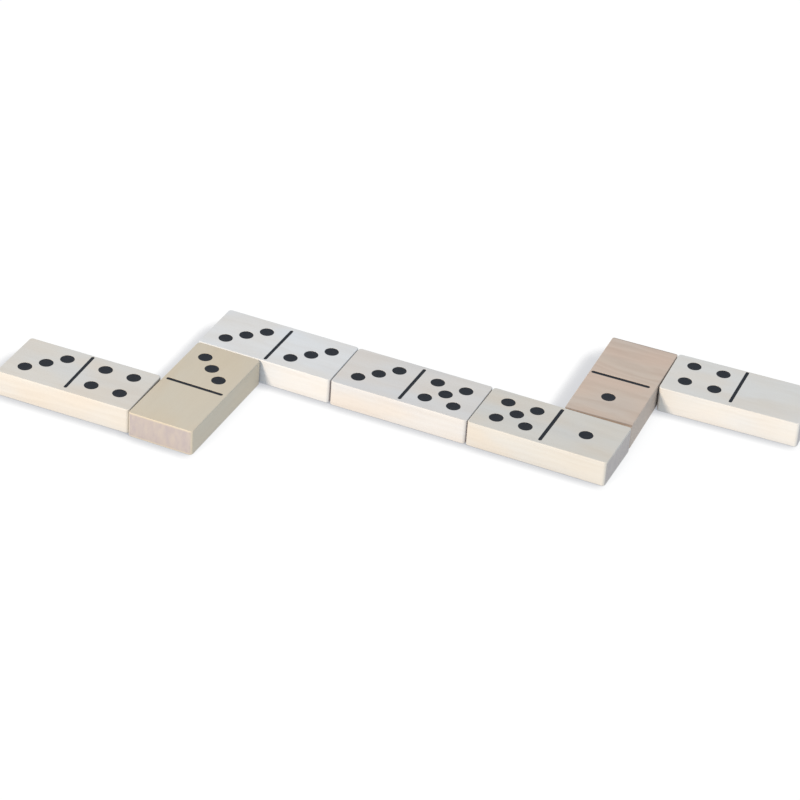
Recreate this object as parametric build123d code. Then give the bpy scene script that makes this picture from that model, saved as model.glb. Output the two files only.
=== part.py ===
"""Seven wooden domino tiles laid as a line of play.

Each tile is a solid wooden block with rounded edges. Its upper face carries a dividing bar and
round pips, each a shallow stamped recess filled with black ink. Five tiles lie lengthwise and
two lie crosswise, so that the line turns twice. Every block, bar and pip is its own solid.

The origin is on the table, under the middle of the line's bounding box. +X runs along the line,
+Z is up, and the tiles' undersides are at Z = 0. All sizes are in millimetres and degrees.
"""
from build123d import *
from dataclasses import dataclass
from math import cos, radians, sin
import os

# The block.
TILE_LENGTH = 53.0
TILE_WIDTH = 25.5
TILE_THICKNESS = 10.0
UPRIGHT_EDGE_RADIUS = 1.3
FACE_EDGE_RADIUS = 0.8

# The marks on the upper face.
PIP_DIAMETER = 5.2
PIP_PITCH = 5.6
BAR_WIDTH = 1.2
BAR_MARGIN = 1.5
MARK_DEPTH = 0.3
INK_SINK = 0.05

# The clearance left between one tile and the tile it was pushed against.
TILE_GAP = 0.25

# Pips of one half, in pitches from the middle of that half: (along the tile, across the tile).
PIP_PATTERNS = {
    0: (),
    1: ((0, 0),),
    3: ((-1, -1), (0, 0), (1, 1)),
    4: ((-1, 1), (1, 1), (-1, -1), (1, -1)),
    5: ((-1, 1), (1, 1), (0, 0), (-1, -1), (1, -1)),
}

# How a tile lies: its length along the line, or turned a quarter across it.
LENGTHWISE = 0.0
CROSSWISE = 90.0


@dataclass
class Tile:
    """One tile, its two values, and how it was set down against an earlier tile."""

    name: str
    values: tuple  # pips on the half towards the tile's own -X end, then on the other half
    lie: float  # LENGTHWISE or CROSSWISE
    turn: float  # small turn away from square with the first tile
    print_slip: tuple  # how far the printing sits off the block's middle, (along, across)
    print_turn: float  # how far the printing is turned on the block
    bar_spread: float  # how much wider than BAR_WIDTH the ink of its bar has spread
    beside: str = None  # the earlier tile that this one was pushed against
    side: tuple = None  # which side of that tile, as a unit direction in that tile's lie
    flush: int = 0  # -1, 0 or 1: which of that side's ends this tile is level with
    step: float = 0.0  # how far past level it stands, along that side


TILES = (
    Tile("three_five", (3, 5), LENGTHWISE, 0.0, (0.0, 0.0), -1.4, 0.05),
    Tile("double_three", (3, 3), LENGTHWISE, -0.4, (0.1, -0.4), -0.7, 0.0, "three_five", (-1, 0), 0, 0.4),
    Tile("five_one", (5, 1), LENGTHWISE, -0.3, (0.5, 0.3), -0.4, 0.1, "three_five", (1, 0), 0, -0.2),
    Tile("blank_three", (0, 3), CROSSWISE, -0.6, (-0.4, 0.1), -0.1, 0.2, "double_three", (0, -1), -1, 0.0),
    Tile("three_four", (3, 4), LENGTHWISE, 0.6, (-0.3, 0.8), 1.1, 0.0, "blank_three", (-1, 0), -1, -0.2),
    Tile("blank_one", (1, 0), CROSSWISE, 1.3, (0.5, 0.8), -0.5, 0.3, "five_one", (0, 1), 1, -0.4),
    Tile("four_blank", (4, 0), LENGTHWISE, 2.1, (-0.2, 1.0), -1.0, 0.0, "blank_one", (1, 0), 1, 1.6),
)


def half_extent(tile, direction):
    """How far a tile reaches from its middle along a unit direction, as a plain rectangle."""
    turn = radians(tile.lie + tile.turn)
    along = abs(direction[0] * cos(turn) + direction[1] * sin(turn)) * TILE_LENGTH / 2
    across = abs(-direction[0] * sin(turn) + direction[1] * cos(turn)) * TILE_WIDTH / 2
    return along + across


def turned(direction, degrees):
    """A direction in the plane, turned anticlockwise."""
    angle = radians(degrees)
    x, y = direction
    return (x * cos(angle) - y * sin(angle), x * sin(angle) + y * cos(angle))


def lay_tiles(tiles):
    """Each tile's middle on the table, by name, with every tile pushed up to its neighbour."""
    middles, laid = {}, {}
    for tile in tiles:
        laid[tile.name] = tile
        if tile.beside is None:
            middles[tile.name] = (0.0, 0.0)
            continue
        neighbour = laid[tile.beside]
        out = turned(tile.side, neighbour.turn)
        tangent = turned((abs(tile.side[1]), abs(tile.side[0])), neighbour.turn)
        reach = half_extent(neighbour, out) + TILE_GAP + half_extent(tile, out)
        level = tile.flush * (half_extent(neighbour, tangent) - half_extent(tile, tangent))
        shift = level + tile.step
        x, y = middles[tile.beside]
        middles[tile.name] = (
            x + out[0] * reach + tangent[0] * shift,
            y + out[1] * reach + tangent[1] * shift,
        )
    return middles


def printing(tile):
    """The place of a tile's printing, in the tile's own axes."""
    return Pos(*tile.print_slip) * Rot(0, 0, tile.print_turn)


def pip_places(tile):
    """The middle of every pip of a tile, in the printing's own axes."""
    return [
        (half * TILE_LENGTH / 4 + along * PIP_PITCH, across * PIP_PITCH)
        for half, value in zip((-1, 1), tile.values)
        for along, across in PIP_PATTERNS[value]
    ]


def raise_mark(outline, height):
    """A mark of the given outline, standing up from the bottom of its recess."""
    return Pos(0, 0, TILE_THICKNESS - MARK_DEPTH) * extrude(outline, height)


def marks(tile, height):
    """Every mark of a tile by name, as ink, or as its recess if height is the whole mark depth."""
    bar = SlotOverall(TILE_WIDTH - 2 * BAR_MARGIN, BAR_WIDTH + tile.bar_spread, rotation=90)
    outlines = {"bar": bar}
    for number, place in enumerate(pip_places(tile), start=1):
        outlines[f"pip_{number}"] = Pos(*place) * Circle(PIP_DIAMETER / 2)
    return {name: printing(tile) * raise_mark(outline, height) for name, outline in outlines.items()}


def block(tile):
    """The wooden block, with the recesses for its bar and pips."""
    base = (Align.CENTER, Align.CENTER, Align.MIN)
    wood = Box(TILE_LENGTH, TILE_WIDTH, TILE_THICKNESS, align=base)
    wood = fillet(wood.edges().filter_by(Axis.Z), UPRIGHT_EDGE_RADIUS)
    rims = wood.edges().group_by(Axis.Z)
    wood = fillet(rims[0] + rims[-1], FACE_EDGE_RADIUS)
    return wood - list(marks(tile, MARK_DEPTH).values())


def tile_pieces(tile):
    """Every solid of one tile by node name, in the tile's own axes."""
    pieces = {f"{tile.name}_block": block(tile)}
    for name, ink in marks(tile, MARK_DEPTH - INK_SINK).items():
        pieces[f"{tile.name}_{name}"] = ink
    return pieces


def build_line():
    """Every solid of the line by node name, with the line's bounding box middle over the origin."""
    middles = lay_tiles(TILES)
    line = {}
    for tile in TILES:
        place = Pos(*middles[tile.name]) * Rot(0, 0, tile.lie + tile.turn)
        for node, shape in tile_pieces(tile).items():
            line[node] = place * shape
    boxes = [shape.bounding_box() for node, shape in line.items() if node.endswith("_block")]
    middle_x = (min(box.min.X for box in boxes) + max(box.max.X for box in boxes)) / 2
    middle_y = (min(box.min.Y for box in boxes) + max(box.max.Y for box in boxes)) / 2
    return {node: Pos(-middle_x, -middle_y) * shape for node, shape in line.items()}


LINE = build_line()
os.makedirs("parts", exist_ok=True)
for node_name, solid in LINE.items():
    export_step(solid, f"parts/{node_name}.step")
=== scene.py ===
"""Seven wooden domino tiles laid flat as a line of play, dressed for a studio picture.

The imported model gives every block, bar and pip its size and place. Each one is modelled again
here, with softened edges, stamped recesses and dished ink, and is finished in wood or ink.
Lengths are in metres unless a name ends in ``_mm``, and angles are in radians.
"""

import logging
import math
from collections.abc import Callable, Iterator
from contextlib import contextmanager
from dataclasses import dataclass, field, replace
from enum import Enum

import bmesh
import bpy
from mathutils import Matrix, Vector, noise

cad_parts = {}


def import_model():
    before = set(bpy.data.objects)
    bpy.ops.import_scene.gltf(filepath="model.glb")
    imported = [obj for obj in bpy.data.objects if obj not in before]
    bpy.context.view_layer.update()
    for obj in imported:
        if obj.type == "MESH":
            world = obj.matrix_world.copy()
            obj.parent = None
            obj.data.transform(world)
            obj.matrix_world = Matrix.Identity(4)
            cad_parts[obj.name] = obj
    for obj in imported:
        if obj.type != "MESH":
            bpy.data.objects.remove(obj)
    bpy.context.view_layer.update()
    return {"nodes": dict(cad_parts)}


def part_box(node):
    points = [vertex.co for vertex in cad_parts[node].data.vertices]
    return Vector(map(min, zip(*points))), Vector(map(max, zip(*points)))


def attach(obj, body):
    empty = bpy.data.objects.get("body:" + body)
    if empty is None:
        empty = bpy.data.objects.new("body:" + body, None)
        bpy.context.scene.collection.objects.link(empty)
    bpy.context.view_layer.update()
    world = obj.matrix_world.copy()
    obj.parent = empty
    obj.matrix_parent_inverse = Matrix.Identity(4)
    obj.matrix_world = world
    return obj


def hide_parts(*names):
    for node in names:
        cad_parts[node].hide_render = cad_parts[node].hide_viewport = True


MM = 0.001
LOG = logging.getLogger("domino_line")

Colour = tuple[float, float, float]
Number = "float | Signal"


class Grain(Enum):
    """Which way the wood's fibres run in a tile."""

    ALONG = "along the tile"
    ACROSS = "across the tile"


class Element(Enum):
    """What is picked in edit mode, with the tool setting that shows it."""

    VERTEX = (True, False, False)
    EDGE = (False, True, False)
    FACE = (False, False, True)


# ---------------------------------------------------------------- shader expressions


@dataclass(frozen=True)
class Pattern:
    """One soft noise: how many features it has in a millimetre along each axis, and which it is."""

    scale: Colour
    offset: float = 0.0
    detail: float = 3.0


WARM_PATCHES = Pattern((0.04, 0.09, 0.09), 7, 1.0)
COOL_PATCHES = Pattern((0.035, 0.07, 0.07), 41, 1.0)
FIBRES = Pattern((0.09, 2.4, 2.4), 11, 4.0)
PORES = Pattern((0.5, 6.0, 6.0), 17, 2.0)
END_MOTTLE = Pattern((0.25, 0.6, 0.22), 23, 4.0)
# Patches where the edges are lightened: rubbed wear together with a painted highlight.
RUBBED_HIGHLIGHT_PATCHES = Pattern((0.25, 0.25, 0.25), 29)
DENTS = Pattern((0.35, 0.35, 0.35), 31, 2.0)
RING_DRIFT = Pattern((0.02, 0.07, 0.07))
RING_RIPPLE = Pattern((0.12, 0.4, 0.4), 3)
RING_PATCHES = Pattern((0.03, 0.16, 0.16), 5, 2.0)
INK_CLOUDS = Pattern((0.7, 0.7, 0.7), 5)
INK_SPECKS = Pattern((6.0, 6.0, 6.0), 9, 2.0)


class Signal:
    """A shader socket that adds the nodes it needs when it is used in an expression."""

    def __init__(self, shader: "Shader", socket: bpy.types.NodeSocket) -> None:
        """Wrap a socket of one shader."""
        self.shader = shader
        self.socket = socket

    def _math(self, operation: str, first: Number, second: Number = 0.0) -> "Signal":
        """Add one Math node.

        Args:
            operation: the node's operation, such as ADD.
            first: the first number or signal.
            second: the second number or signal.

        Returns:
            The node's result.
        """
        return self.shader.node("ShaderNodeMath", {"operation": operation}, {0: first, 1: second})

    def __add__(self, other: Number) -> "Signal":
        """Self plus other."""
        return self._math("ADD", self, other)

    __radd__ = __add__

    def __sub__(self, other: Number) -> "Signal":
        """Self minus other."""
        return self._math("SUBTRACT", self, other)

    def __rsub__(self, other: Number) -> "Signal":
        """Other minus self."""
        return self._math("SUBTRACT", other, self)

    def __mul__(self, other: Number) -> "Signal":
        """Self times other."""
        return self._math("MULTIPLY", self, other)

    __rmul__ = __mul__

    def __truediv__(self, other: Number) -> "Signal":
        """Self divided by other."""
        return self._math("DIVIDE", self, other)

    def __abs__(self) -> "Signal":
        """Self without its sign."""
        return self._math("ABSOLUTE", self)

    def root(self) -> "Signal":
        """The square root."""
        return self._math("SQRT", self)

    def fraction(self) -> "Signal":
        """What is left above the whole number below."""
        return self._math("FRACT", self)

    def most(self, other: Number) -> "Signal":
        """The larger of self and other."""
        return self._math("MAXIMUM", self, other)

    def between(self, low: float, high: float) -> "Signal":
        """A smooth step.

        Args:
            low: where the step starts, at 0.
            high: where the step ends, at 1. It may be the lower one, for a step down.

        Returns:
            The step, from 0 to 1.
        """
        settings = {"interpolation_type": "SMOOTHSTEP"}
        sockets = {"Value": self, "From Min": low, "From Max": high}
        if low > high:
            sockets |= {"From Min": high, "From Max": low, "To Min": 1.0, "To Max": 0.0}
        return self.shader.node("ShaderNodeMapRange", settings, sockets)


class Shader:
    """One material's node tree, written as expressions."""

    def __init__(self, name: str) -> None:
        """Start a material of that name, with its Principled shader."""
        self.material = bpy.data.materials.new(name)
        self.material.use_nodes = True
        self.tree = self.material.node_tree
        self.skin = next(n for n in self.tree.nodes if n.type == "BSDF_PRINCIPLED")

    def put(self, socket: bpy.types.NodeSocket, value: "Number | Colour") -> None:
        """Link a signal to a socket, or set the socket's own value."""
        if isinstance(value, Signal):
            self.tree.links.new(value.socket, socket)
        elif isinstance(value, tuple) and socket.type == "RGBA":
            socket.default_value = (*value, 1.0)
        else:
            socket.default_value = value

    def node(
        self, kind: str, settings: dict | None = None, sockets: dict | None = None, output: int | str = 0
    ) -> Signal:
        """Add any node.

        Args:
            kind: the node's type.
            settings: the node's own settings, such as its operation, which are made first.
            sockets: a value or a signal for each input, by name or by number.
            output: which output is wanted.

        Returns:
            The wanted output.
        """
        made = self.tree.nodes.new(kind)
        for key, value in (settings or {}).items():
            setattr(made, key, value)
        for key, value in (sockets or {}).items():
            self.put(made.inputs[key], value)
        return Signal(self, made.outputs[output])

    def mix(self, share: Number, first: "Signal | Colour", second: "Signal | Colour") -> Signal:
        """Blend two colours.

        Args:
            share: how much of the second one shows, from 0 to 1.
            first: the colour at share 0.
            second: the colour at share 1.

        Returns:
            The blended colour.
        """
        settings = {"data_type": "RGBA"}
        return self.node("ShaderNodeMix", settings, {0: share, 6: first, 7: second}, output=2)

    def noise(self, place: Signal, pattern: Pattern, seed: float = 0.0) -> Signal:
        """Soft noise.

        Args:
            place: the place on the piece, in millimetres.
            pattern: the kind of noise.
            seed: what makes it differ from one piece to the next.

        Returns:
            The noise, about 0 to 1.
        """
        times = {"operation": "MULTIPLY"}
        spread = self.node("ShaderNodeVectorMath", times, {0: place, 1: pattern.scale})
        which = {"Vector": spread, "W": seed + pattern.offset}
        look = {"Scale": 1.0, "Detail": pattern.detail, "Roughness": 0.55}
        return self.node("ShaderNodeTexNoise", {"noise_dimensions": "4D"}, which | look)

    def bump(self, height: Signal, depth: float, strength: float) -> Signal:
        """A surface raised by a height signal, as a normal.

        Args:
            height: the height, from 0 to 1.
            depth: what a height of 1 stands for, in metres.
            strength: how much of it is shown.

        Returns:
            The normal.
        """
        sockets = {"Strength": strength, "Distance": depth, "Height": height}
        return self.node("ShaderNodeBump", None, sockets)

    def finish(self, **sockets: "Number | Colour") -> bpy.types.Material:
        """Fill the Principled shader.

        Args:
            sockets: a value or a signal for each input, with _ for each space in its name.

        Returns:
            The finished material.
        """
        for key, value in sockets.items():
            self.put(self.skin.inputs[key.replace("_", " ")], value)
        return self.material


# ---------------------------------------------------------------- where things lie


@dataclass(frozen=True)
class Lay:
    """Where a straight-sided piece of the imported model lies, and its sizes."""

    centre: Vector
    turn: float
    length: float
    width: float
    height: float

    @classmethod
    def of(cls, node: str, cad: bpy.types.Object) -> "Lay":
        """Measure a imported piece.

        Args:
            node: the piece's name.
            cad: the piece's object.

        Returns:
            Its lay: the centre of its underside, the turn of its long side, and its sizes.
        """
        low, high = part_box(node)
        centre = Vector(((low.x + high.x) / 2, (low.y + high.y) / 2, low.z))
        upright = [face for face in cad.data.polygons if abs(face.normal.z) < 0.01]
        side = max(upright, key=lambda face: face.area).normal
        turn = math.atan2(-side.x, side.y)
        along = Vector((math.cos(turn), math.sin(turn), 0))
        across = Vector((-along.y, along.x, 0))
        spread = [[(v.co - centre).dot(axis) for v in cad.data.vertices] for axis in (along, across)]
        length, width = (max(reach) - min(reach) for reach in spread)
        return cls(centre, turn, length, width, high.z - low.z)

    @property
    def matrix(self) -> Matrix:
        """What takes a piece made upright at the origin to where it lies."""
        return Matrix.Translation(self.centre) @ Matrix.Rotation(self.turn, 4, "Z")


# ---------------------------------------------------------------- finishes


@dataclass(frozen=True)
class WoodFinish:
    """Sanded, unvarnished wood, with one tree's rings, fibres and flecks through the block."""

    pale: Colour = (0.64, 0.62, 0.575)
    warm: Colour = (0.65, 0.59, 0.51)
    cool: Colour = (0.60, 0.61, 0.605)
    late: Colour = (0.47, 0.40, 0.32)
    fleck: Colour = (0.33, 0.25, 0.19)
    end: Colour = (0.46, 0.42, 0.415)
    grain: Grain = Grain.ALONG
    ring_mm: float = 2.6
    pith_mm: tuple[float, float] = (14.0, -32.0)
    ring_strength: float = 0.14
    ring_drift_mm: float = 9.0
    ring_ripple_mm: float = 2.0
    fibre_strength: float = 0.14
    pore_strength: float = 0.14
    blotch_strength: float = 0.75
    end_strength: float = 0.62
    end_mottle: float = 0.32
    # How much the edges are lightened: partly rubbed wear, partly a painted highlight along the rims.
    rubbed_highlight_strength: float = 0.35
    # How much the rims of the end faces are darkened, as painted shade for the seam against the next
    # tile.
    seam_shade_strength: float = 0.0
    roughness: float = 0.56
    relief: float = 0.12 * MM
    relief_strength: float = 0.35

    def toned(self, *tone: float) -> "WoodFinish":
        """The same kind of wood from another board.

        Args:
            tone: how much of its red, green and blue that board has of this one's.

        Returns:
            The other board's finish.
        """
        names = ("pale", "warm", "cool", "late", "fleck", "end")
        tints = {name: tuple(a * b for a, b in zip(getattr(self, name), tone)) for name in names}
        return replace(self, **tints)

    def material(self, name: str, lay: Lay, seed: float) -> bpy.types.Material:
        """The wood of one block.

        Args:
            name: the material's name.
            lay: where the block lies, which the grain follows.
            seed: what makes this block's wood differ from the next one's.

        Returns:
            The material.
        """
        s = Shader(name)
        place = self._place(s, lay)
        x, y, z = (s.node("ShaderNodeSeparateXYZ", None, {0: place}, output=i) for i in range(3))
        from_end = lay.length / 2 / MM - abs(x)
        from_side = lay.width / 2 / MM - abs(y)
        from_face = lay.height / 2 / MM - abs(z - lay.height / 2 / MM)
        along, across, cut_off = (x, y, from_end) if self.grain is Grain.ALONG else (y, x, from_side)
        stick = s.node("ShaderNodeCombineXYZ", None, {0: along, 1: across, 2: z})

        fibre = s.noise(stick, FIBRES, seed)
        pore = s.noise(stick, PORES, seed).between(0.68, 0.78)
        wood = self._heartwood(s, stick, seed)
        wood = s.mix(self._rings(s, stick, across, z, seed) * self.ring_strength, wood, self.late)
        wood = s.mix(((fibre - 0.4) * self.fibre_strength * 2.0).most(0.0), wood, self.late)
        wood = s.mix(pore * self.pore_strength, wood, self.fleck)

        cut = cut_off.between(0.3, 0.05) * from_face.between(0.1, 0.9)
        mottle = s.noise(stick, END_MOTTLE, seed).between(0.3, 0.7)
        wood = s.mix(cut * (mottle * self.end_mottle + self.end_strength), wood, self.end)
        # The edges are lightened towards the pale colour: rubbed wear together with a painted highlight
        # along the rims.
        edge = self._worn_highlit_edge(from_end, from_side, from_face)
        rub = s.noise(stick, RUBBED_HIGHLIGHT_PATCHES, seed).between(0.35, 0.7)
        wood = s.mix(edge * rub * self.rubbed_highlight_strength, wood, self.pale)
        # Painted shade: the rims of the end faces are darkened towards the fleck colour, so the seam
        # against the next tile reads as a dark line.
        seam_shade = from_end.between(0.6, 0.2) * from_face.between(0.9, 0.3)
        wood = s.mix(seam_shade * self.seam_shade_strength, wood, self.fleck)

        dent = s.noise(place, DENTS, seed)
        height = fibre * 0.55 - pore * 0.7 + dent * 0.6
        return s.finish(
            Base_Color=wood,
            Roughness=self.roughness + (fibre - 0.5) * 0.22 + cut * 0.12 - edge * 0.1,
            Normal=s.bump(height, self.relief, self.relief_strength),
            Specular_IOR_Level=0.3,
        )

    @staticmethod
    def _place(s: Shader, lay: Lay) -> Signal:
        """The place on the block, in millimetres, in the block's own axes.

        Args:
            s: the shader.
            lay: where the block lies.

        Returns:
            The place, from the middle of the block's underside.
        """
        spot = s.node("ShaderNodeTexCoord", output="Object")
        sockets = {
            "Vector": spot,
            "Location": lay.centre,
            "Rotation": (0, 0, lay.turn),
            "Scale": (MM, MM, MM),
        }
        return s.node("ShaderNodeMapping", {"vector_type": "TEXTURE"}, sockets)

    def _heartwood(self, s: Shader, stick: Signal, seed: float) -> Signal:
        """The wood's own colour, which drifts a little warmer and cooler.

        Args:
            s: the shader.
            stick: the place in the stick that the block was cut from.
            seed: what makes this block's wood differ from the next one's.

        Returns:
            The colour.
        """
        warmth = s.noise(stick, WARM_PATCHES, seed).between(0.36, 0.74)
        coolness = s.noise(stick, COOL_PATCHES, seed).between(0.36, 0.76)
        wood = s.mix(coolness * self.blotch_strength, self.pale, self.cool)
        return s.mix(warmth * self.blotch_strength, wood, self.warm)

    def _rings(self, s: Shader, stick: Signal, across: Signal, z: Signal, seed: float) -> Signal:
        """The dark late wood of each year's ring, from 0 to 1.

        Args:
            s: the shader.
            stick: the place in the stick that the block was cut from.
            across: the place across the grain, level.
            z: the place across the grain, upwards.
            seed: what makes this block's rings differ from the next one's.

        Returns:
            The mask.
        """
        drift = s.noise(stick, RING_DRIFT, seed) - 0.5
        ripple = s.noise(stick, RING_RIPPLE, seed) - 0.5
        beside = across - self.pith_mm[0]
        above = z - self.pith_mm[1]
        wander = drift * self.ring_drift_mm + ripple * self.ring_ripple_mm
        ring = (((beside * beside + above * above).root() + wander) / self.ring_mm).fraction()
        patchy = s.noise(stick, RING_PATCHES, seed).between(0.3, 0.7)
        return ring.between(0.0, 0.7) * ring.between(1.0, 0.7) * patchy

    @staticmethod
    def _worn_highlit_edge(from_end: Signal, from_side: Signal, from_face: Signal) -> Signal:
        """Where hands have rubbed the block's edges, and where the colour is lightened as a painted
        highlight, from 0 to 1.

        Args:
            from_end: how far in from the block's ends, in millimetres.
            from_side: how far in from its long sides.
            from_face: how far in from its upper or lower face.

        Returns:
            The mask.
        """
        reach_mm = 1.3
        ends, sides, faces = (depth.between(reach_mm, 0.0) for depth in (from_end, from_side, from_face))
        return (ends * sides).most(sides * faces).most(ends * faces)


@dataclass(frozen=True)
class InkFinish:
    """Black ink, dried to a satin skin in its recess."""

    ink: Colour = (0.009, 0.010, 0.014)
    thin: Colour = (0.024, 0.023, 0.026)
    relief: float = 0.04 * MM
    relief_strength: float = 0.4

    def material(self, name: str) -> bpy.types.Material:
        """The ink of every mark.

        Args:
            name: the material's name.

        Returns:
            The material.
        """
        s = Shader(name)
        spot = s.node("ShaderNodeTexCoord", output="Object")
        place = s.node("ShaderNodeVectorMath", {"operation": "MULTIPLY"}, {0: spot, 1: (1 / MM,) * 3})
        cloud = s.noise(place, INK_CLOUDS)
        speck = s.noise(place, INK_SPECKS)
        worn_thin = cloud.between(0.4, 0.75) * 0.6 + speck.between(0.6, 0.75) * 0.4
        return s.finish(
            Base_Color=s.mix(worn_thin, self.ink, self.thin),
            Roughness=0.42 + cloud * 0.18,
            Normal=s.bump(speck * 0.6 + cloud * 0.4, self.relief, self.relief_strength),
            Specular_IOR_Level=0.28,
        )


@dataclass(frozen=True)
class FloorFinish:
    """White glowing acrylic, as on a light table, with a painted shadow: its glow is darkened close to
    the tiles, mostly to their left and in front.
    """

    white: Colour = (1.0, 1.0, 1.0)
    # The colour of the painted shadow near the tiles.
    shade: Colour = (0.0, 0.02, 0.08)
    left_facing: tuple[float, float, float] = (0.75, -0.66, 0.0)
    front_facing: tuple[float, float, float] = (0.0, 1.0, 0.0)
    skin: Colour = (0.05, 0.05, 0.05)
    glow: float = 0.975
    left_reach: float = 11.5 * MM
    left_shadow_share: float = 0.36
    front_reach: float = 4.6 * MM
    front_shadow_share: float = 1.1

    def material(self, name: str) -> bpy.types.Material:
        """The floor's acrylic.

        Args:
            name: the material's name.

        Returns:
            The material.
        """
        s = Shader(name)
        shadow_at_left = self._shadow_mask(s, self.left_facing, self.left_reach).between(0.02, 0.25)
        shadow_in_front = self._shadow_mask(s, self.front_facing, self.front_reach)
        # Painted shadow: the glow is mixed towards the shade colour where a tile is near, found by
        # ambient occlusion leaning left and to the front.
        share = shadow_at_left * self.left_shadow_share + shadow_in_front * shadow_in_front * self.front_shadow_share
        return s.finish(
            Base_Color=self.skin,
            Roughness=0.8,
            Specular_IOR_Level=0.0,
            Emission_Color=s.mix(share, self.white, self.shade),
            Emission_Strength=self.glow,
        )

    @staticmethod
    def _shadow_mask(s: Shader, facing: tuple[float, float, float], reach: float) -> Signal:
        """How far a tile shuts in each spot of the floor, from 0 to 1, which sets the painted shadow
        there.

        Args:
            s: the shader.
            facing: the direction in which a tile counts most.
            reach: the farthest that a tile still counts, in metres.

        Returns:
            The mask.
        """
        normal = s.node("ShaderNodeCombineXYZ", None, dict(enumerate(facing)))
        sockets = {"Distance": reach, "Normal": normal}
        return 1 - s.node("ShaderNodeAmbientOcclusion", {"samples": 16}, sockets, "AO")


# ---------------------------------------------------------------- modelling moves


def clear_picks() -> None:
    """Leave nothing selected."""
    bpy.ops.object.select_all(action="DESELECT")


def hold(piece: bpy.types.Object) -> None:
    """Make one piece the only one selected, and the active one."""
    clear_picks()
    piece.select_set(True)
    bpy.context.view_layer.objects.active = piece


@contextmanager
def editing(piece: bpy.types.Object) -> Iterator[None]:
    """Hold a piece in edit mode for a while.

    Args:
        piece: the piece to shape.

    Yields:
        Nothing: the edit operators act on the piece.
    """
    hold(piece)
    bpy.ops.object.mode_set(mode="EDIT")
    try:
        yield
    finally:
        bpy.ops.object.mode_set(mode="OBJECT")


def pick(piece: bpy.types.Object, kind: Element, wanted: Callable[..., bool]) -> None:
    """Select, in edit mode, only the elements that are wanted.

    Args:
        piece: the piece that is being edited.
        kind: whether vertices, edges or faces are picked.
        wanted: the test that each one is given.
    """
    bpy.context.tool_settings.mesh_select_mode = kind.value
    bpy.ops.mesh.select_all(action="DESELECT")
    mesh = bmesh.from_edit_mesh(piece.data)
    mesh.normal_update()
    elements = {Element.VERTEX: mesh.verts, Element.EDGE: mesh.edges, Element.FACE: mesh.faces}[kind]
    for element in [element for element in elements if wanted(element)]:
        element.select_set(True)
    bmesh.update_edit_mesh(piece.data)


def start(name: str) -> bpy.types.Object:
    """Name the primitive that was just added, with its place taken into its mesh."""
    piece = bpy.context.active_object
    piece.name = name
    piece.data.name = name
    bpy.ops.object.transform_apply(location=True, rotation=True, scale=True)
    return piece


def apply_modifier(piece: bpy.types.Object, kind: str, **settings: object) -> None:
    """Add one modifier and apply it at once.

    Args:
        piece: the piece.
        kind: the modifier's type.
        settings: the modifier's settings.
    """
    hold(piece)
    modifier = piece.modifiers.new(kind.lower(), kind)
    for key, value in settings.items():
        setattr(modifier, key, value)
    bpy.ops.object.modifier_apply(modifier=modifier.name)


def even_normals(piece: bpy.types.Object) -> None:
    """Shade flats flat and rounded edges smooth."""
    hold(piece)
    bpy.ops.object.shade_smooth_by_angle(angle=math.radians(40))
    apply_modifier(piece, "WEIGHTED_NORMAL", keep_sharp=True, weight=80)


def copy_piece(master: bpy.types.Object, name: str, place: Matrix) -> bpy.types.Object:
    """Copy a piece, with a mesh of its own, to where it belongs.

    Args:
        master: the piece to copy, made at the origin.
        name: the copy's name.
        place: what takes it to where it belongs.

    Returns:
        The copy.
    """
    copy = bpy.data.objects.new(name, master.data.copy())
    copy.data.name = name
    copy.data.transform(place)
    bpy.context.scene.collection.objects.link(copy)
    return copy


# ---------------------------------------------------------------- marks


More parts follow.
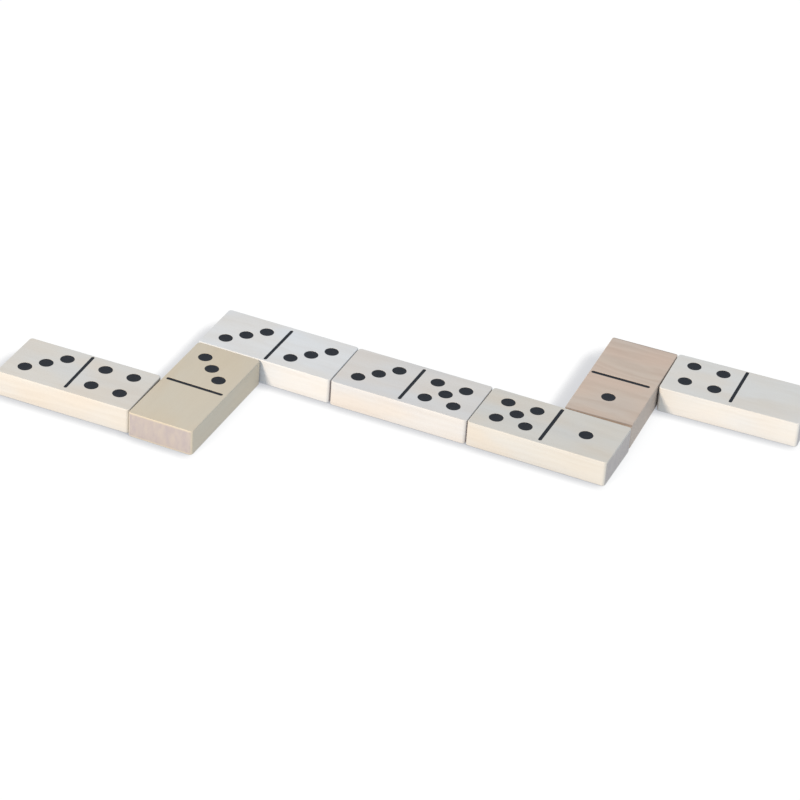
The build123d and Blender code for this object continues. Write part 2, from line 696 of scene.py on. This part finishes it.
@dataclass
class Mark:
    """A pip or a bar: an outline that is both stamped into the wood and filled with ink."""

    length: float
    width: float
    sides: int = 48
    play: float = 0.02 * MM
    lip: float = 0.1 * MM
    rim: float = 0.06 * MM
    dish: float = 0.05 * MM

    def outline(self, name: str, grow: float) -> bpy.types.Object:
        """The flat outline: a circle, drawn out along Y if the mark is long.

        Args:
            name: the new piece's name.
            grow: how far outside the mark's own outline it runs.

        Returns:
            The outline as one face at the origin.
        """
        clear_picks()
        turn = math.pi / self.sides
        radius = self.width / 2 + grow
        bpy.ops.mesh.primitive_circle_add(
            vertices=self.sides, radius=radius, fill_type="NGON", rotation=(0, 0, turn)
        )
        piece = start(name)
        stretch = (self.length - self.width) / 2
        if stretch > 0:
            with editing(piece):
                for way in (-1, 1):
                    pick(piece, Element.VERTEX, lambda vertex: vertex.co.y * way > 0)
                    bpy.ops.transform.translate(value=(0, way * stretch, 0))
        return piece

    def stamp(self, name: str, depth: float) -> bpy.types.Object:
        """The stamp that presses the recess, with a shoulder that rounds the recess's lip.

        Args:
            name: the stamp's name.
            depth: how deep the recess is.

        Returns:
            The stamp, with the recess's bottom at the origin.
        """
        piece = self.outline(name, self.play + self.lip)
        clear = depth
        turns = [math.radians(30 * step) for step in range(4)]
        with editing(piece):
            pick(piece, Element.FACE, lambda face: True)
            bpy.ops.transform.translate(value=(0, 0, depth + clear))
            bpy.ops.mesh.extrude_region_move(TRANSFORM_OT_translate={"value": (0, 0, -clear)})
            for last, turn in zip(turns, turns[1:]):
                inwards = self.lip * (math.sin(turn) - math.sin(last))
                down = self.lip * (math.cos(last) - math.cos(turn))
                bpy.ops.mesh.inset(thickness=inwards, depth=0.0)
                bpy.ops.transform.translate(value=(0, 0, -down))
            wall = depth - self.lip
            bpy.ops.mesh.extrude_region_move(TRANSFORM_OT_translate={"value": (0, 0, -wall)})
            bpy.ops.mesh.select_all(action="SELECT")
            bpy.ops.mesh.normals_make_consistent(inside=False)
        return piece

    def ink(self, name: str, height: float) -> bpy.types.Object:
        """The ink, with a rounded rim and a slightly dished top.

        Args:
            name: the ink's name.
            height: the height of its rim.

        Returns:
            The ink, at the origin.
        """
        piece = self.outline(name, 0.0)
        # How far in and how far up each step of the top goes: two round the rim, three into the dish.
        steps = (
            (self.rim * 0.3, self.rim * 0.5),
            (self.rim * 0.7, self.rim * 0.2),
            (self.width * 0.08, -self.dish * 0.35),
            (self.width * 0.14, -self.dish * 0.4),
            (self.width * 0.12, -self.dish * 0.25),
        )
        with editing(piece):
            pick(piece, Element.FACE, lambda face: True)
            wall = height - self.rim * 0.7
            bpy.ops.mesh.extrude_region_move(TRANSFORM_OT_translate={"value": (0, 0, wall)})
            for inset, rise in steps:
                bpy.ops.mesh.inset(thickness=inset, depth=0.0)
                bpy.ops.transform.translate(value=(0, 0, rise))
            bpy.ops.mesh.select_all(action="SELECT")
            bpy.ops.mesh.normals_make_consistent(inside=False)
        even_normals(piece)
        return piece


@dataclass
class MarkShop:
    """Models each size of mark once, and hands out copies of its ink and its stamp."""

    ink: bpy.types.Material
    recess: float = 0.3 * MM
    masters: dict[tuple[float, float], tuple[bpy.types.Object, bpy.types.Object]] = field(
        default_factory=dict
    )

    def copies(
        self, node: str, mark: Mark, height: float, place: Matrix
    ) -> tuple[bpy.types.Object, bpy.types.Object]:
        """Copy one mark's ink and stamp, which are modelled first if that size is new.

        Args:
            node: the mark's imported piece.
            mark: the mark's outline.
            height: the height of its ink.
            place: what takes it to where it belongs.

        Returns:
            The ink and the stamp, where they belong.
        """
        size = (round(mark.length / MM, 2), round(mark.width / MM, 2))
        if size not in self.masters:
            number = len(self.masters) + 1
            ink = mark.ink(f"ink_master_{number}", height)
            ink.data.materials.clear()
            ink.data.materials.append(self.ink)
            self.masters[size] = (ink, mark.stamp(f"stamp_master_{number}", self.recess))
        ink, stamp = self.masters[size]
        return copy_piece(ink, f"{node}_ink", place), copy_piece(stamp, f"{node}_stamp", place)

    def clear_away(self) -> None:
        """Throw the masters away."""
        for master in (piece for pair in self.masters.values() for piece in pair):
            bpy.data.objects.remove(master)


# ---------------------------------------------------------------- the tiles


@dataclass
class WoodBlock:
    """A tile's wooden block, cut square, rounded, worn and stamped."""

    name: str
    lay: Lay
    seed: int
    upright_edge: float = 1.2 * MM
    side_rim: float = 0.45 * MM
    end_rim: float = 0.2 * MM
    wear: float = 0.204 * MM
    wear_spacing: float = 5 * MM
    stations: int = 12

    def build(self, stamps: list[bpy.types.Object]) -> bpy.types.Object:
        """Make the block.

        Args:
            stamps: what presses its recesses, where they belong.

        Returns:
            The block, where it lies.
        """
        piece = self._cut_square()
        self._round_edges(piece)
        self._wear_edges(piece)
        self._sand_flat(piece)
        piece.data.transform(self.lay.matrix)
        self._press(piece, stamps)
        even_normals(piece)
        return piece

    def _cut_square(self) -> bpy.types.Object:
        """A square block on the table at the origin, with lines across it to shape it by."""
        clear_picks()
        size = (self.lay.length, self.lay.width, self.lay.height)
        bpy.ops.mesh.primitive_cube_add(size=1, location=(0, 0, self.lay.height / 2), scale=size)
        piece = start(self.name)
        cuts = {"x": (self.lay.length, self.stations), "y": (self.lay.width, self.stations // 2)}
        with editing(piece):
            for axis, (reach, count) in cuts.items():
                normal = (1, 0, 0) if axis == "x" else (0, 1, 0)
                inner = reach - 4 * self.upright_edge
                for number in range(count + 1):
                    at = inner * (number / count - 0.5)
                    bpy.ops.mesh.select_all(action="SELECT")
                    bpy.ops.mesh.bisect(plane_co=(at * normal[0], at * normal[1], 0), plane_no=normal)
        return piece

    def _round_edges(self, piece: bpy.types.Object) -> None:
        """Round the upright edges, then the rims of the upper and lower face."""
        half_length, half_width = self.lay.length / 2, self.lay.width / 2
        near = 0.01 * MM
        steps = 4

        def upright(edge: bmesh.types.BMEdge) -> bool:
            """Whether an edge is one of the four corners."""
            return all(
                abs(abs(v.co.x) - half_length) < near and abs(abs(v.co.y) - half_width) < near
                for v in edge.verts
            )

        def rim(edge: bmesh.types.BMEdge) -> bool:
            """Whether an edge runs between a flat face and a side."""
            tilts = sorted(abs(face.normal.z) for face in edge.link_faces)
            return len(tilts) == 2 and tilts[0] < 0.01 and tilts[1] > 0.99

        def sideways(edge: bmesh.types.BMEdge) -> float:
            """How far the side below or above a rim faces the block's long sides, from 0 to 1."""
            return max(abs(face.normal.y) for face in edge.link_faces)

        with editing(piece):
            pick(piece, Element.EDGE, upright)
            bpy.ops.mesh.bevel(offset=self.upright_edge, segments=6, affect="EDGES")
            for step in range(steps + 1):
                low, high = (step - 0.5) / steps, (step + 0.5) / steps
                pick(piece, Element.EDGE, lambda edge: rim(edge) and low <= sideways(edge) < high)
                weight = (self.end_rim + (self.side_rim - self.end_rim) * step / steps) / self.side_rim
                bpy.ops.transform.edge_bevelweight(value=weight)
        apply_modifier(piece, "BEVEL", width=self.side_rim, segments=5, limit_method="WEIGHT")

    def _wear_edges(self, piece: bpy.types.Object) -> None:
        """Rub the rounded edges down unevenly, always inwards, and leave the flat faces flat."""
        piece.data.update()
        near = 0.001 * MM
        shift = Vector((self.seed * 17.0, self.seed * 5.0, 0))
        moves = []
        for vertex in piece.data.vertices:
            slant = 1 - max(abs(part) for part in vertex.normal)
            rub = 0.5 + 0.5 * noise.noise(vertex.co / self.wear_spacing + shift)
            off_flats = near < vertex.co.z < self.lay.height - near
            moves.append(vertex.normal * (-self.wear * slant * rub * off_flats))
        for vertex, move in zip(piece.data.vertices, moves):
            vertex.co += move

    @staticmethod
    def _sand_flat(piece: bpy.types.Object) -> None:
        """Make the upper face one face, and the lower face too."""
        with editing(piece):
            pick(piece, Element.FACE, lambda face: abs(face.normal.z) > 0.9999)
            bpy.ops.mesh.dissolve_faces()

    @staticmethod
    def _press(piece: bpy.types.Object, stamps: list[bpy.types.Object]) -> None:
        """Press the recesses with the stamps, which are then thrown away."""
        for stamp in stamps:
            before = len(piece.data.polygons)
            apply_modifier(piece, "BOOLEAN", operation="DIFFERENCE", solver="EXACT", object=stamp)
            if len(piece.data.polygons) <= before:
                raise RuntimeError(f"{stamp.name} pressed no recess")
            bpy.data.objects.remove(stamp)


@dataclass
class DominoTile:
    """One tile: its block, its bar and its pips, riding on one body."""

    name: str
    seed: int
    wood: WoodFinish
    wood_slot: str
    ink_slot: str = "black_ink"
    upright_edge: float = 1.2 * MM
    end_rim: float = 0.2 * MM
    pieces: list[bpy.types.Object] = field(default_factory=list)

    @property
    def body(self) -> str:
        """The body that the tile rides on."""
        return f"{self.name}_tile"

    def build(self, nodes: dict[str, bpy.types.Object], shop: MarkShop) -> None:
        """Make the tile and dress it.

        Args:
            nodes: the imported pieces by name.
            shop: what its marks come from.
        """
        stamps = []
        for node in sorted(nodes):
            if node.startswith((f"{self.name}_bar", f"{self.name}_pip")):
                stamps.append(self._mark(node, nodes[node], shop))
        lay = Lay.of(f"{self.name}_block", nodes[f"{self.name}_block"])
        block = WoodBlock(f"{self.name}_wood", lay, self.seed, self.upright_edge, end_rim=self.end_rim)
        piece = block.build(stamps)
        piece.data.materials.clear()
        piece.data.materials.append(self.wood.material(f"wood_{self.name}", lay, self.seed * 13.7))
        self._keep(piece, f"{self.name}_block")

    def _mark(self, node: str, cad: bpy.types.Object, shop: MarkShop) -> bpy.types.Object:
        """Make one mark's ink, and the stamp that presses its recess.

        Args:
            node: the mark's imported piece.
            cad: that piece's object.
            shop: what the ink and the stamp come from.

        Returns:
            The stamp, where it belongs.
        """
        low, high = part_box(node)
        if node.endswith("_bar"):
            lay = Lay.of(node, cad)
            mark = Mark(lay.length, lay.width, sides=24)
            place = lay.matrix @ Matrix.Rotation(math.pi / 2, 4, "Z")
        else:
            mark = Mark(high.x - low.x, high.x - low.x)
            place = Matrix.Translation(((low.x + high.x) / 2, (low.y + high.y) / 2, low.z))
        ink, stamp = shop.copies(node, mark, high.z - low.z, place)
        self._keep(ink, node)
        return stamp

    def _keep(self, piece: bpy.types.Object, node: str) -> None:
        """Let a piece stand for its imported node, on the tile's body."""
        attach(piece, self.body)
        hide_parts(node)
        self.pieces.append(piece)


# ---------------------------------------------------------------- the studio


@dataclass
class Studio:
    """The floor, the lights and the camera."""

    middle: Vector
    floor_reach: float = 6.0
    lens_mm: float = 130.74
    aim: tuple[float, float] = (-5.13 * MM, 2.39 * MM)
    azimuth: float = math.radians(21.48)
    elevation: float = math.radians(33.40)
    roll: float = math.radians(4.24)
    distance: float = 1.0528
    key_at: tuple[float, float, float] = (-0.36, -1.10, 0.75)
    key_power: float = 17.2
    key_size: float = 0.25
    key_colour: Colour = (1.0, 0.822, 0.645)
    sky_colour: Colour = (0.549, 0.640, 0.739)

    def lay_floor(self) -> None:
        """A wide light table."""
        clear_picks()
        bpy.ops.mesh.primitive_circle_add(vertices=96, radius=self.floor_reach / 2, fill_type="NGON")
        floor = start("floor")
        with editing(floor):
            pick(floor, Element.FACE, lambda face: True)
            for _ in range(6):
                bpy.ops.mesh.inset(thickness=self.floor_reach / 16, depth=0.0)
        floor.data.materials.append(FloorFinish().material("light_table"))

    def light(self) -> None:
        """A warm soft box low at the front left, and a cool even sky."""
        box = bpy.data.lights.new("key", "AREA")
        box.shape = "DISK"
        box.size = self.key_size
        box.energy = self.key_power
        box.color = self.key_colour
        lamp = bpy.data.objects.new("key", box)
        lamp.location = self.middle + Vector(self.key_at)
        lamp.rotation_euler = Vector(self.key_at).to_track_quat("Z", "Y").to_euler()
        bpy.context.scene.collection.objects.link(lamp)
        world = bpy.data.worlds.new("sky")
        world.use_nodes = True
        bpy.context.scene.world = world
        tree = world.node_tree
        sky = tree.nodes["Background"]
        sky.inputs["Color"].default_value = (*self.sky_colour, 1.0)
        white = tree.nodes.new("ShaderNodeBackground")
        white.inputs["Color"].default_value = (1.0, 1.0, 1.0, 1.0)
        seen = tree.nodes.new("ShaderNodeLightPath")
        mix = tree.nodes.new("ShaderNodeMixShader")
        tree.links.new(seen.outputs["Is Camera Ray"], mix.inputs[0])
        tree.links.new(sky.outputs[0], mix.inputs[1])
        tree.links.new(white.outputs[0], mix.inputs[2])
        tree.links.new(mix.outputs[0], tree.nodes["World Output"].inputs["Surface"])

    def set_camera(self) -> None:
        """The camera, a long way off, looking down on the line from the front right."""
        target = self.middle + Vector((*self.aim, 0))
        flat = math.cos(self.elevation)
        back = Vector(
            (math.sin(self.azimuth) * flat, -math.cos(self.azimuth) * flat, math.sin(self.elevation))
        )
        right = Vector((math.cos(self.azimuth), math.sin(self.azimuth), 0))
        up = back.cross(right)
        tilted_right = right * math.cos(self.roll) + up * math.sin(self.roll)
        tilted_up = up * math.cos(self.roll) - right * math.sin(self.roll)
        lens = bpy.data.cameras.new("camera")
        lens.lens = self.lens_mm
        lens.clip_start = 0.05
        lens.clip_end = 50
        camera = bpy.data.objects.new("camera", lens)
        axes = Matrix((tilted_right, tilted_up, back)).transposed().to_4x4()
        camera.matrix_world = Matrix.Translation(target + back * self.distance) @ axes
        bpy.context.scene.collection.objects.link(camera)
        bpy.context.scene.camera = camera

    def set_up(self) -> None:
        """Lay the floor, light it and set the camera."""
        self.lay_floor()
        self.light()
        self.set_camera()
        bpy.context.scene.view_settings.view_transform = "Standard"


def line_of_play() -> list[DominoTile]:
    """The seven tiles, from the left end of the line to the right end.

    Returns:
        The tiles, not yet built.
    """
    pale = WoodFinish()
    cool = WoodFinish(pale=(0.68, 0.69, 0.68), warm=(0.67, 0.64, 0.585), cool=(0.645, 0.68, 0.705))
    tan = WoodFinish(
        pale=(0.57, 0.51, 0.405),
        warm=(0.565, 0.49, 0.37),
        cool=(0.55, 0.51, 0.42),
        end=(0.375, 0.335, 0.345),
    )
    rosy = WoodFinish(
        pale=(0.555, 0.47, 0.40),
        warm=(0.58, 0.45, 0.37),
        cool=(0.52, 0.46, 0.41),
        late=(0.40, 0.30, 0.235),
        fleck=(0.16, 0.12, 0.10),
        end=(0.45, 0.40, 0.365),
        grain=Grain.ACROSS,
        ring_strength=0.34,
        ring_drift_mm=24.0,
        ring_ripple_mm=3.0,
        ring_mm=5.0,
        pith_mm=(40.0, -14.0),
        blotch_strength=0.8,
        # Its rims are lightened less by the wear and the painted highlight.
        rubbed_highlight_strength=0.1,
        # Its end rims are darkened by painted shade.
        seam_shade_strength=0.65,
    ).toned(1.06, 1.04, 1.01)
    return [
        DominoTile("three_four", 1, pale.toned(0.96, 0.97, 0.98), "pale_wood"),
        DominoTile("blank_three", 2, tan, "tan_wood"),
        DominoTile("double_three", 3, cool.toned(1.0, 1.01, 1.04), "pale_wood"),
        DominoTile("three_five", 4, pale.toned(1.0, 1.01, 1.05), "pale_wood"),
        DominoTile("five_one", 5, pale.toned(0.96, 0.96, 0.95), "pale_wood"),
        DominoTile("blank_one", 6, rosy, "rosy_wood", upright_edge=0.7 * MM, end_rim=0.15 * MM),
        DominoTile("four_blank", 7, pale.toned(1.07, 1.09, 1.12), "pale_wood"),
    ]


def main() -> None:
    """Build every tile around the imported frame, then the studio."""
    logging.basicConfig(level=logging.INFO, format="%(name)s: %(message)s")
    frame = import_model()
    clear_picks()
    shop = MarkShop(InkFinish().material("black_ink"))
    for tile in line_of_play():
        tile.build(frame["nodes"], shop)
        for piece in tile.pieces:
            LOG.info("%s on %s: %d faces", piece.name, tile.body, len(piece.data.polygons))
    shop.clear_away()
    low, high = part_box("three_five_block")
    Studio(Vector(((low.x + high.x) / 2, (low.y + high.y) / 2, 0))).set_up()


if __name__ == "__main__":
    main()
